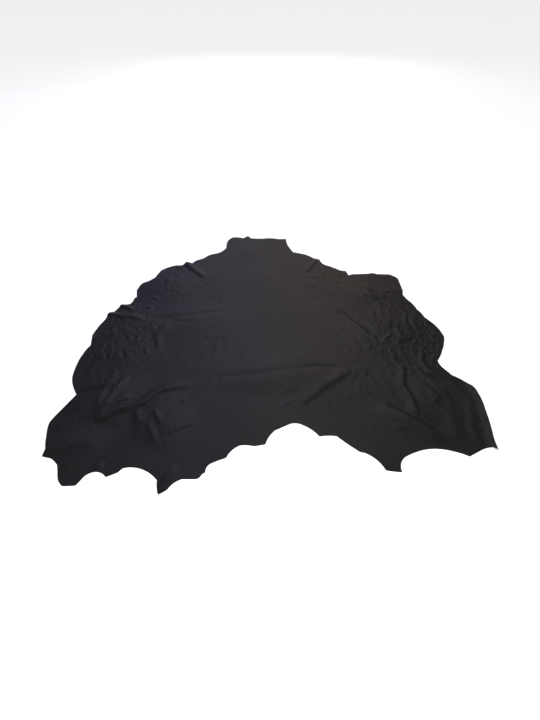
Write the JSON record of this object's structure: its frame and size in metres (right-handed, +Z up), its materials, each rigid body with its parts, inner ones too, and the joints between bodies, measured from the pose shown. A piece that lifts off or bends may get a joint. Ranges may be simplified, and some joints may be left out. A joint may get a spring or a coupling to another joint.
{
  "type": "leather hide",
  "caption": "Whole cattle hide of smooth leather, lying grain side up, with neck, shanks and a scalloped edge, and soft creases over its haunches and flanks.",
  "frame": {"origin": "on the surface that the hide lies on, under the middle of the hide's box", "axes": "+Z up out of the grain side, +Y towards the neck, +X towards the hide's right side as the viewer sees it from the hind legs"},
  "size_m": [2.1996, 2.4, 0.0252],
  "materials": {
    "hide": "black drum-dyed smooth grain, low soft gloss"
  },
  "bodies": {
    "root": {"hide": "hide"}
  },
  "joints": []
}
